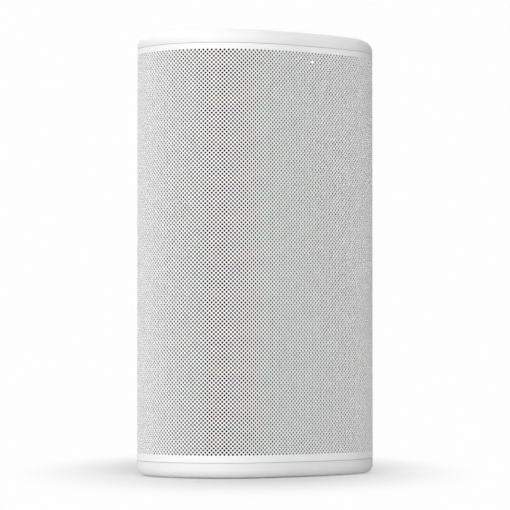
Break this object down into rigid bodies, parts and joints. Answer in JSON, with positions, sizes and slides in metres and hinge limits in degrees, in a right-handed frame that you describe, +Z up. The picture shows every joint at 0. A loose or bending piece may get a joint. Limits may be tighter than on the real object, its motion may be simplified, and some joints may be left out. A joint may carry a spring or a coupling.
{
  "type": "smart speaker",
  "caption": "Upright oval portable speaker: perforated metal sleeve between moulded end caps, woofer, side passive radiators, angled tweeters, battery and rear controls.",
  "frame": {"origin": "middle of the foot pad, on the surface that the speaker stands on", "axes": "+Z up, front towards -Y, width along X"},
  "size_m": [0.1124, 0.0772, 0.1926],
  "materials": {
    "moulded_white": "fine satin moulded plastic",
    "button_white": "satin moulded plastic",
    "grille_white": "white powder coat on perforated steel",
    "panel_white": "fine satin moulded plastic",
    "cloth_black": "open-weave acoustic cloth",
    "rubber_grey": "matt silicone",
    "rubber_black": "matt",
    "moulded_black": "glass-filled moulding",
    "zinc_screw": "zinc plated",
    "plated_steel": "zinc plated",
    "ferrite": "ground ferrite",
    "paper_cone": "pressed fibre",
    "spider_cloth": "resin-stiffened weave",
    "copper_winding": "enamelled wire",
    "radiator_alloy": "anodised",
    "radiator_ring": "satin",
    "silk_dome": "coated silk",
    "circuit_board": "solder mask",
    "component_black": "moulded packages",
    "heat_sink_alloy": "extruded",
    "stainless": "drawn",
    "cell_sleeve": "shrink sleeve",
    "loom_sleeve": "braided sleeve",
    "lens_clear": "clear light guide"
  },
  "bodies": {
    "housing": {"foot_pad": "rubber_grey", "base_cap": "moulded_white", "base_screws": "zinc_screw", "cabinet": "moulded_black", "front_baffle": "moulded_black", "baffle_gasket": "rubber_black", "baffle_screws": "zinc_screw", "woofer_basket": "moulded_black", "woofer_gasket": "rubber_black", "woofer_screws": "zinc_screw", "woofer_top_plate": "plated_steel", "woofer_magnet": "ferrite", "woofer_yoke": "plated_steel", "tweeter_bracket": "moulded_black", "bracket_screws": "zinc_screw", "tweeter_frame_left": "moulded_black", "tweeter_frame_right": "moulded_black", "tweeter_magnet_left": "ferrite", "tweeter_magnet_right": "ferrite", "tweeter_screws": "zinc_screw", "light_board": "circuit_board", "light_lens": "lens_clear", "grille": "grille_white", "acoustic_cloth": "cloth_black", "rear_panel": "panel_white", "control_board": "circuit_board", "control_board_screws": "zinc_screw", "control_switches": "component_black", "usb_shell": "stainless", "usb_tongue": "component_black", "main_board": "circuit_board", "main_board_screws": "zinc_screw", "board_components": "component_black", "heat_sink": "heat_sink_alloy", "battery_case": "moulded_black", "battery_cells": "cell_sleeve", "battery_board": "circuit_board", "power_loom": "loom_sleeve", "loom_grommets": "rubber_black", "antenna": "circuit_board", "top_seal": "rubber_black", "top_cap": "moulded_white", "cap_screws": "zinc_screw", "touch_board": "circuit_board", "radiator_frame_left": "radiator_ring", "radiator_frame_right": "radiator_ring", "radiator_surround_left": "rubber_black", "radiator_surround_right": "rubber_black", "woofer_surround": "rubber_black", "woofer_spider": "spider_cloth"},
    "woofer_cone_assembly": {"woofer_cone": "paper_cone", "woofer_voice_coil": "copper_winding", "woofer_dust_cap": "paper_cone"},
    "radiator_left": {"radiator_plate_left": "radiator_alloy"},
    "radiator_right": {"radiator_plate_right": "radiator_alloy"},
    "tweeter_dome_left": {"tweeter_dome_left": "silk_dome"},
    "tweeter_dome_right": {"tweeter_dome_right": "silk_dome"},
    "power_button": {"power_button": "button_white"},
    "pairing_button": {"pairing_button": "button_white"},
    "mic_slider": {"mic_slider": "moulded_white"}
  },
  "joints": [
    {"name": "power_button_press", "type": "slide", "parent": "housing", "child": "power_button", "axis": [0, -1, 0], "range_m": [0, 0.0008], "stiffness_N_per_m": 1500, "springref_m": -0.0002},
    {"name": "pairing_button_press", "type": "slide", "parent": "housing", "child": "pairing_button", "axis": [0, -1, 0], "range_m": [0, 0.0008], "stiffness_N_per_m": 1500, "springref_m": -0.0002},
    {"name": "mic_switch_slide", "type": "slide", "parent": "housing", "child": "mic_slider", "axis": [0, 0, -1], "range_m": [0, 0.004]},
    {"name": "woofer_travel", "type": "slide", "parent": "housing", "child": "woofer_cone_assembly", "axis": [0, 1, 0], "range_m": [-0.0035, 0.0035], "stiffness_N_per_m": 1500, "deforming": ["woofer_surround", "woofer_spider"]},
    {"name": "radiator_left_travel", "type": "slide", "parent": "housing", "child": "radiator_left", "axis": [1, 0, 0], "range_m": [-0.003, 0.003], "stiffness_N_per_m": 800, "deforming": ["radiator_surround_left"]},
    {"name": "radiator_right_travel", "type": "slide", "parent": "housing", "child": "radiator_right", "axis": [-1, 0, 0], "range_m": [-0.003, 0.003], "stiffness_N_per_m": 800, "deforming": ["radiator_surround_right"]},
    {"name": "tweeter_left_travel", "type": "slide", "parent": "housing", "child": "tweeter_dome_left", "axis": [0.5, 0.866, 0], "range_m": [-0.0003, 0.0003], "stiffness_N_per_m": 1000},
    {"name": "tweeter_right_travel", "type": "slide", "parent": "housing", "child": "tweeter_dome_right", "axis": [-0.5, 0.866, 0], "range_m": [-0.0003, 0.0003], "stiffness_N_per_m": 1000}
  ]
}
